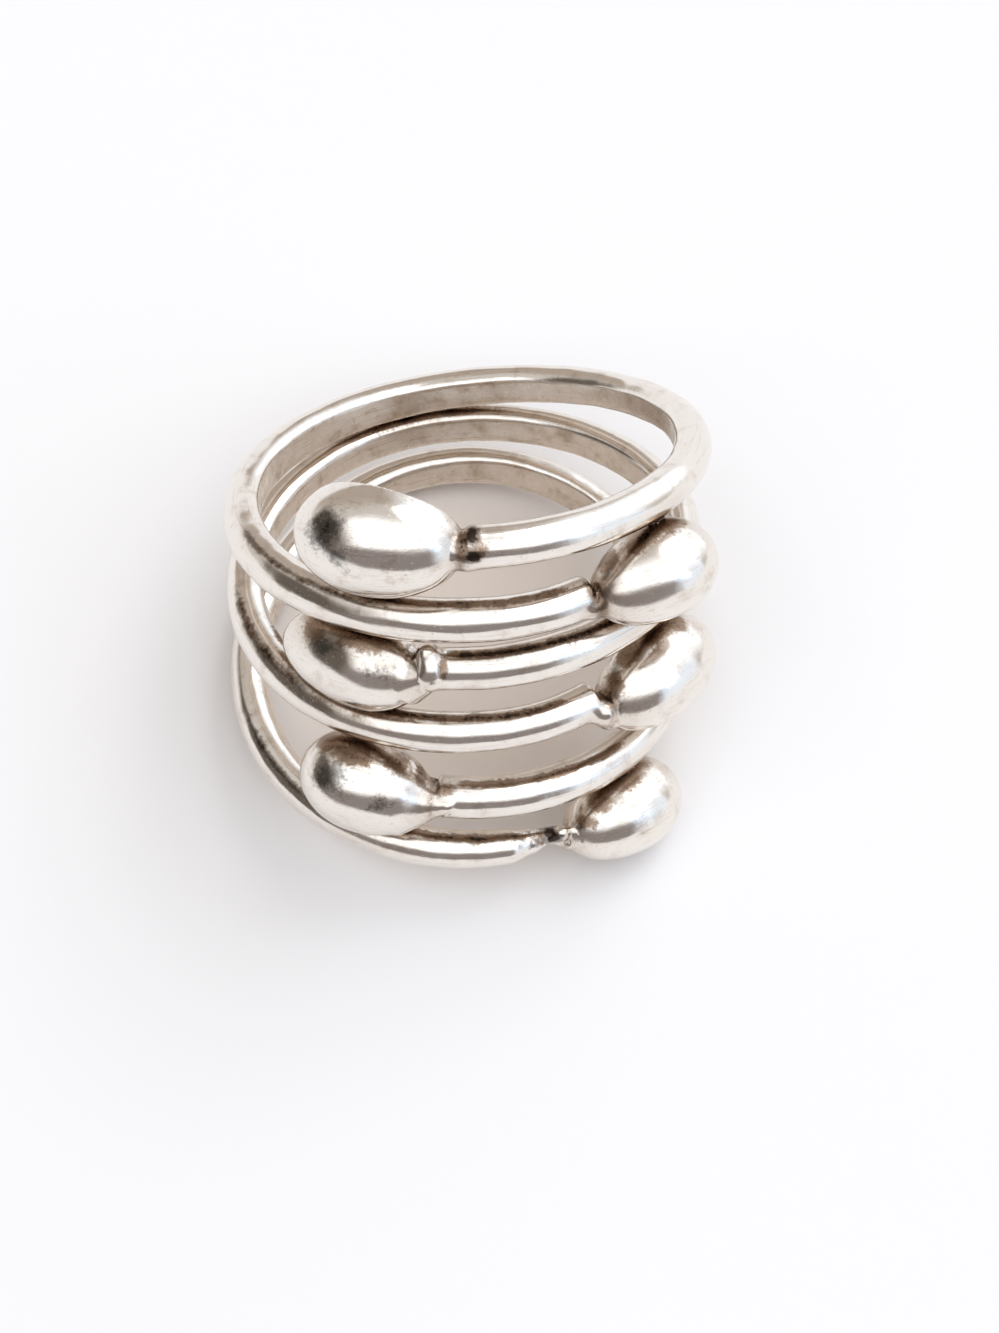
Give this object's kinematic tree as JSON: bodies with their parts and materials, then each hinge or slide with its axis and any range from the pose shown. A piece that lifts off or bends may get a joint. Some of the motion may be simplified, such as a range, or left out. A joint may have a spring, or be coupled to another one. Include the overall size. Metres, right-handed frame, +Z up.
{
  "type": "stackable ring",
  "caption": "Finger ring of stacked silver wire loops; the ends of each loop overlap at the front and carry smooth drops.",
  "frame": {"origin": "on the surface that the ring stands on, at the middle of its bounding box", "axes": "+Z up; -Y towards the front, where the drops are; +X to the right as seen from the front; the bore leans back about 25 degrees from +Z towards +Y"},
  "size_m": [0.021, 0.0236, 0.0193],
  "materials": {
    "silver": "polished"
  },
  "bodies": {
    "root": {"upper_loop": "silver", "middle_loop": "silver", "lower_loop": "silver"}
  },
  "joints": []
}
